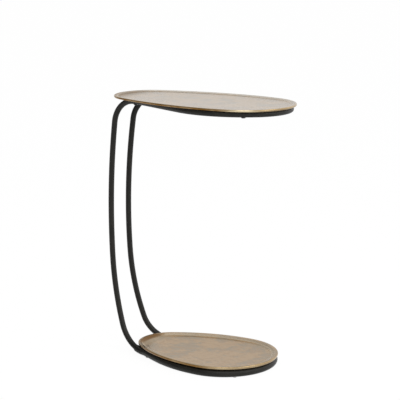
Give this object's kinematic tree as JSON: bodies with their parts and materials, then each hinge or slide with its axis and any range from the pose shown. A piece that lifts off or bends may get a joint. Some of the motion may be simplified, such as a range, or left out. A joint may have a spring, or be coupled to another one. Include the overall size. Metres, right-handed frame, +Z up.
{
  "type": "side table",
  "caption": "C-shaped oval side table: antique brass dished top and smaller dished base on a black bent tube frame, open at the front to slide over a sofa seat.",
  "frame": {"origin": "on the floor, under the middle of the table's overall length and width", "axes": "+X towards the open end of the C, +Y to the far side, +Z up"},
  "size_m": [0.4636, 0.2466, 0.6],
  "materials": {
    "antique_brass": "cast aluminium with a worn antique brass finish and a polished brass rim",
    "black_coat": "satin black powder coat on steel tube",
    "bare_steel": "turned, zinc plated",
    "black_screw": "black oxide steel",
    "glide_plastic": "black nylon"
  },
  "bodies": {
    "root": {"top_tray": "antique_brass", "base_tray": "antique_brass", "top_loop": "black_coat", "base_ring": "black_coat", "near_upright": "black_coat", "far_upright": "black_coat", "near_top_spigot": "bare_steel", "far_top_spigot": "bare_steel", "near_base_plug": "black_coat", "far_base_plug": "black_coat", "near_top_weld": "black_coat", "far_top_weld": "black_coat", "near_base_weld": "black_coat", "far_base_weld": "black_coat", "top_tray_screws": "black_screw", "top_screw_sleeves": "bare_steel", "base_tray_screws": "black_screw", "base_screw_bushes": "bare_steel", "floor_glides": "glide_plastic"}
  },
  "joints": []
}
